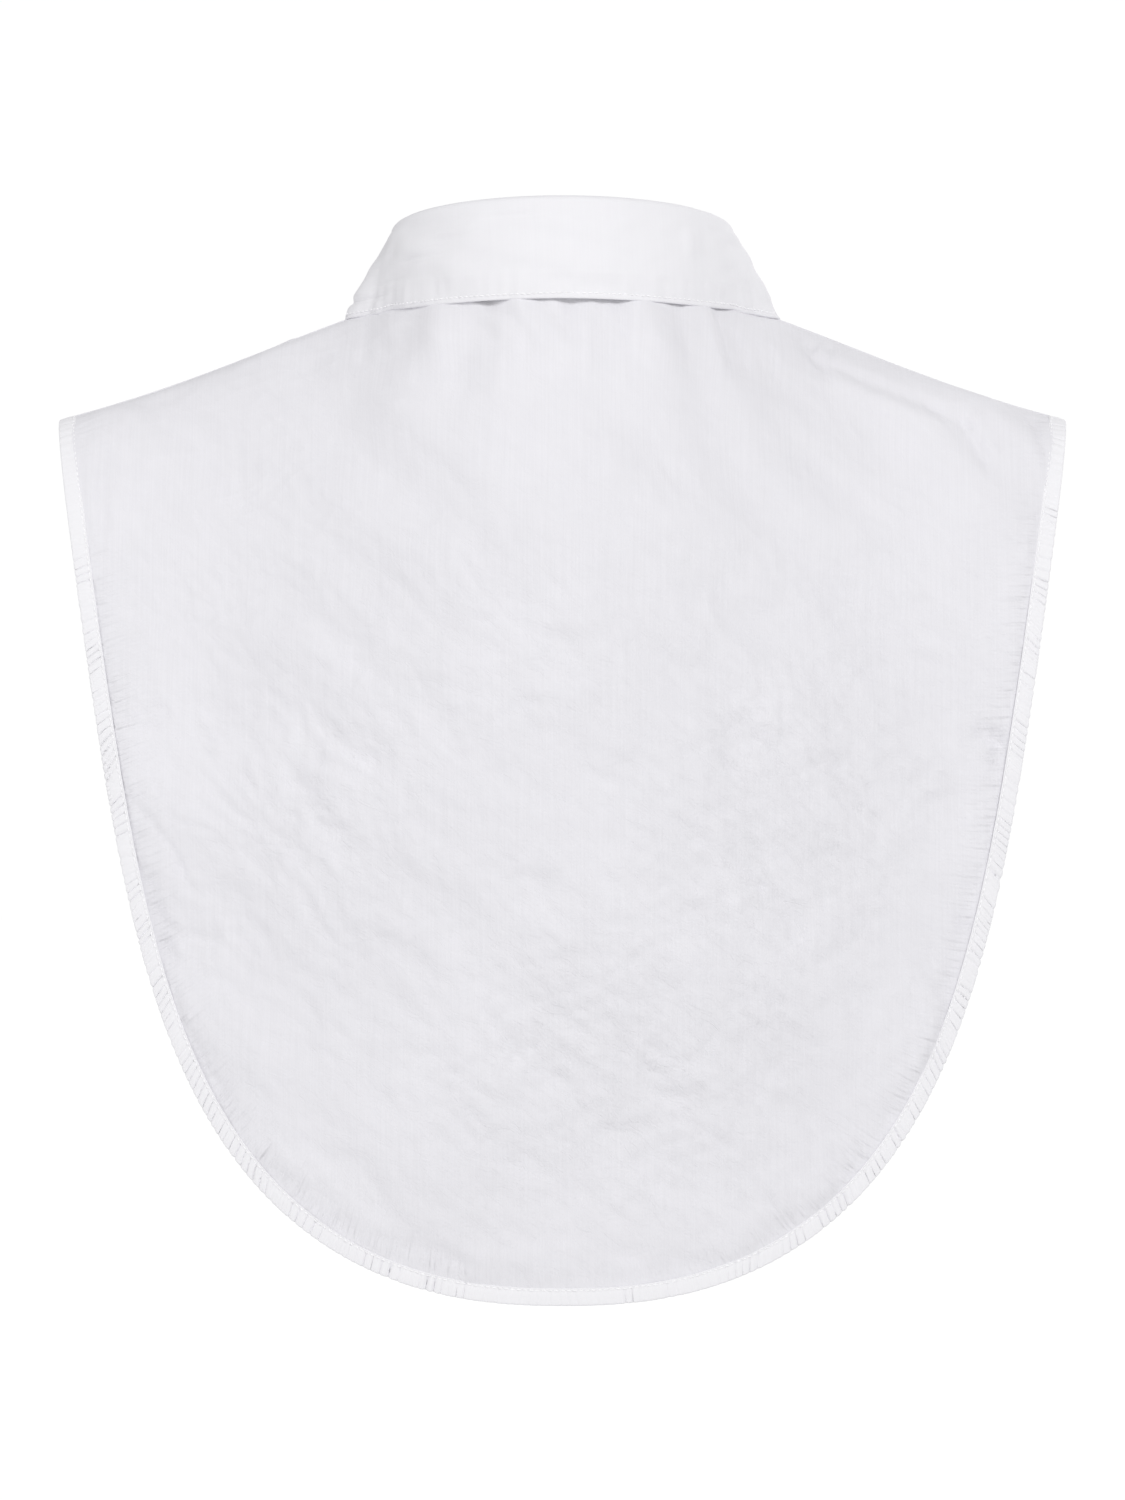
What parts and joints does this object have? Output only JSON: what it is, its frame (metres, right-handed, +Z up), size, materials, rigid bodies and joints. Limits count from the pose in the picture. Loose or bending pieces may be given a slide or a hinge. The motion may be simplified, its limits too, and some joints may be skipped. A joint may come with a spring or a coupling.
{
  "type": "detachable collar",
  "caption": "Detachable shirt collar in white cotton, with a turned-down fall on a stand and front and back bibs that end in a narrow stitched hem.",
  "frame": {"origin": "middle of the neck opening, at the height of the back neck seam", "axes": "+Z up as worn, the wearer faces -Y, and +X is the wearer's left"},
  "size_m": [0.4014, 0.2088, 0.4286],
  "materials": {
    "cotton": "matt",
    "button": "gloss"
  },
  "bodies": {
    "root": {"collar_stand": "cotton", "collar_fall": "cotton", "back_bib": "cotton", "back_hem": "cotton", "front_bib_left": "cotton", "front_hem_left": "cotton", "front_bib_right": "cotton", "front_hem_right": "cotton", "front_placket": "cotton", "stand_button": "button", "placket_button_1": "button", "placket_button_2": "button", "placket_button_3": "button", "placket_button_4": "button"}
  },
  "joints": []
}
